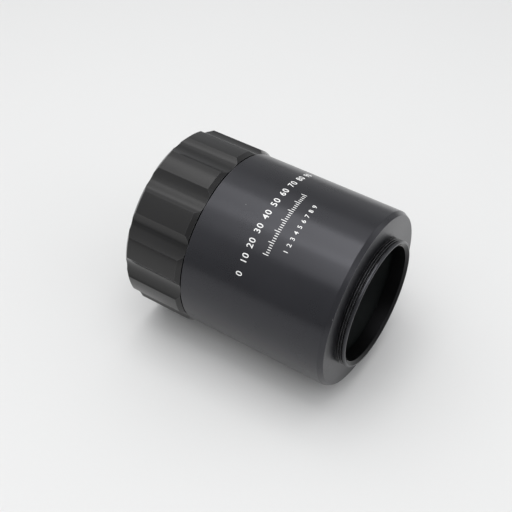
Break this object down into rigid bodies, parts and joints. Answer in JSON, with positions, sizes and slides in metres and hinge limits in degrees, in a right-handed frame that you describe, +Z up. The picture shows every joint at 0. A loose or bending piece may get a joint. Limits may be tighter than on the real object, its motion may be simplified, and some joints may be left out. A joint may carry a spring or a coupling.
{
  "type": "telescope focal reducer",
  "caption": "Cylindrical lens adapter with a threaded camera nose, an inner lens cell and a freely spinning fluted coupling ring for the telescope.",
  "frame": {"origin": "on the optical axis, in the plane of the shoulder that stops the camera (the back-focus datum)", "axes": "+X along the optical axis out of the camera end; the telescope end is at -X; +Z is up with the part lying on its side on two lands of the coupling ring; +Y completes the right-handed frame"},
  "size_m": [0.0739, 0.0592, 0.0592],
  "materials": {
    "satin_black": "satin black anodised, fine turned",
    "grip_black": "black anodised, milled flutes",
    "hub_black": "satin black anodised, turned",
    "cell_black": "matt black anodised",
    "baffle_black": "flat black",
    "spring_steel": "phosphated spring steel",
    "washer_plastic": "slippery black plastic film",
    "cushion_rubber": "matt nitrile rubber",
    "coated_glass": "polished, green-violet coated"
  },
  "bodies": {
    "barrel": {"adapter_barrel": "satin_black", "captive_hub": "hub_black", "slip_washer": "washer_plastic", "lens_cell": "cell_black", "cell_lock_ring": "cell_black", "cell_cushion": "cushion_rubber", "camera_side_crown": "coated_glass", "camera_side_flint": "coated_glass", "group_spacer": "cell_black", "telescope_side_flint": "coated_glass", "telescope_side_crown": "coated_glass", "lens_cushion": "cushion_rubber", "lens_retainer": "cell_black", "glare_baffle": "baffle_black", "baffle_snap_ring": "spring_steel"},
    "ring": {"coupling_ring": "grip_black"}
  },
  "joints": [
    {"name": "coupling_ring_spin", "type": "hinge", "parent": "barrel", "child": "ring", "pos_m": [-0.0515, 0, 0], "axis": [1, 0, 0], "continuous": true}
  ]
}
